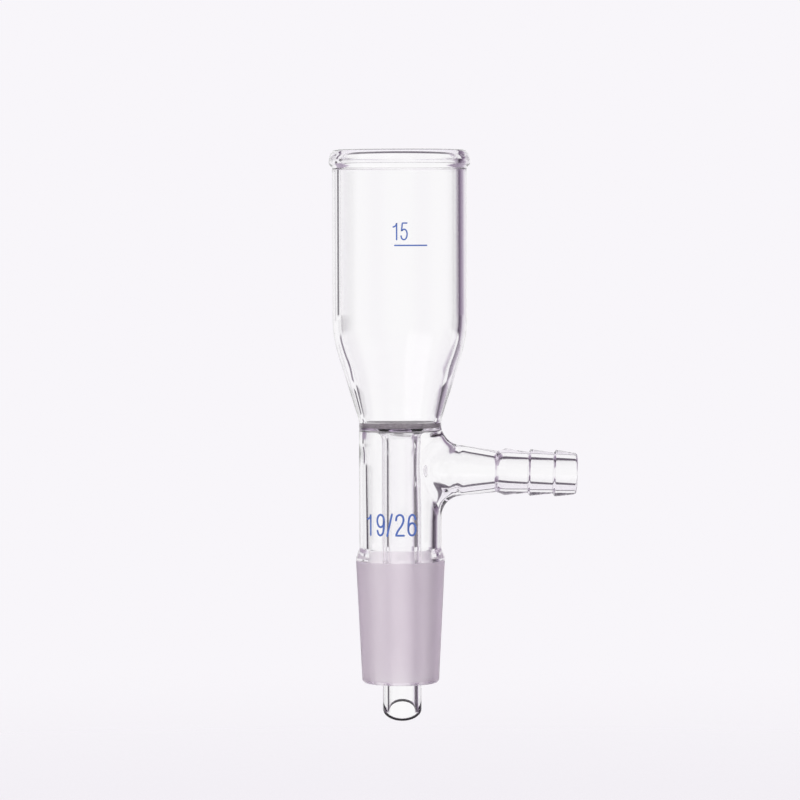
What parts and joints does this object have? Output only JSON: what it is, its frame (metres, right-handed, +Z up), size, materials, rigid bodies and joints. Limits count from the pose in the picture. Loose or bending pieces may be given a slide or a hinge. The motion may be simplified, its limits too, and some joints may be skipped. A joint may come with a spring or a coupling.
{
  "type": "fritted glass filter funnel",
  "caption": "Clear glass filter funnel: open bowl on a sintered disc, drip tube in a jacket with a ridged hose arm and a ground cone.",
  "frame": {"origin": "centre of the ground cone's large end, the gauge plane of its 19/26 taper", "axes": "+Z up the funnel's axis towards the bowl's mouth, +X towards the hose arm, which droops 1.8 degrees from it, -Y towards the long side of the drip tube's slanted tip"},
  "size_m": [0.0524, 0.0298, 0.1204],
  "materials": {
    "clear_glass": "clear borosilicate glass, fire-polished ends; the cone's outside is ground matt",
    "sintered_glass": "porous sintered glass, white and matt",
    "blue_enamel": "fired blue enamel print, used by the look alone"
  },
  "bodies": {
    "root": {"glass_body": "clear_glass", "fritted_disc": "sintered_glass"}
  },
  "joints": []
}
